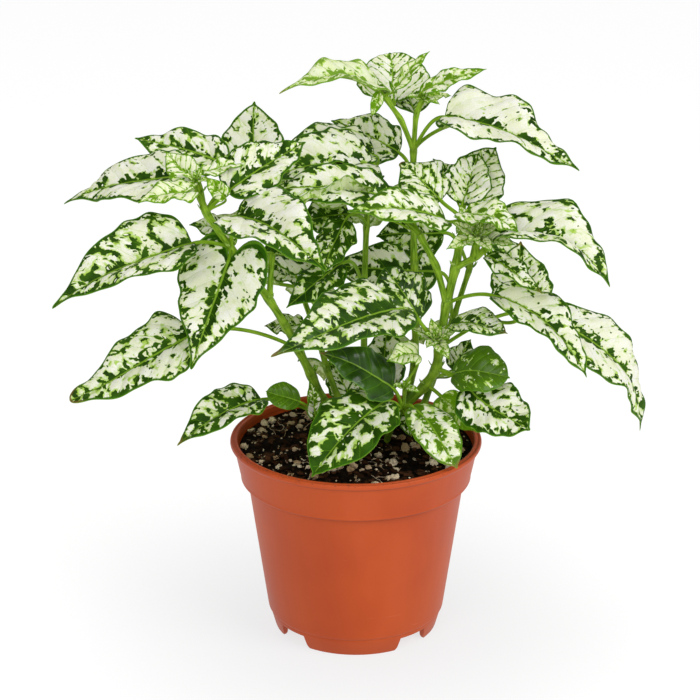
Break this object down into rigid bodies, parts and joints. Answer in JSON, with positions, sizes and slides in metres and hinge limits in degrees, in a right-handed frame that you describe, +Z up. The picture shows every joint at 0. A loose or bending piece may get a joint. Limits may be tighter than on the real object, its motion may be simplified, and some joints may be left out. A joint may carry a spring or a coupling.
{
  "type": "potted polka dot plant",
  "caption": "Bushy house plant with pointed cream leaves spotted and edged in green, on branching stems that grow from dark soil in a round tapered orange-brown plastic pot.",
  "frame": {"origin": "middle of the plant's width and depth, at the underside of the pot's feet, which is also on the pot's own axis", "axes": "+Z up along the pot's axis, -Y towards the front that the picture shows, +X to the right of that view"},
  "size_m": [0.2741, 0.1471, 0.2756],
  "materials": {
    "pot_plastic": "moulded, soft sheen",
    "potting_soil": "matt, crumbly, with pale grains",
    "foliage": "satin leaf, cream blotched with green"
  },
  "bodies": {
    "root": {"pot": "pot_plastic", "soil": "potting_soil", "leafy_stem_left": "foliage", "leafy_stem_right": "foliage", "leafy_stem_tall": "foliage", "leafy_stem_middle": "foliage", "leafy_shoot_low": "foliage", "leafy_stem_back_left": "foliage", "leafy_stem_back_right": "foliage"}
  },
  "joints": []
}
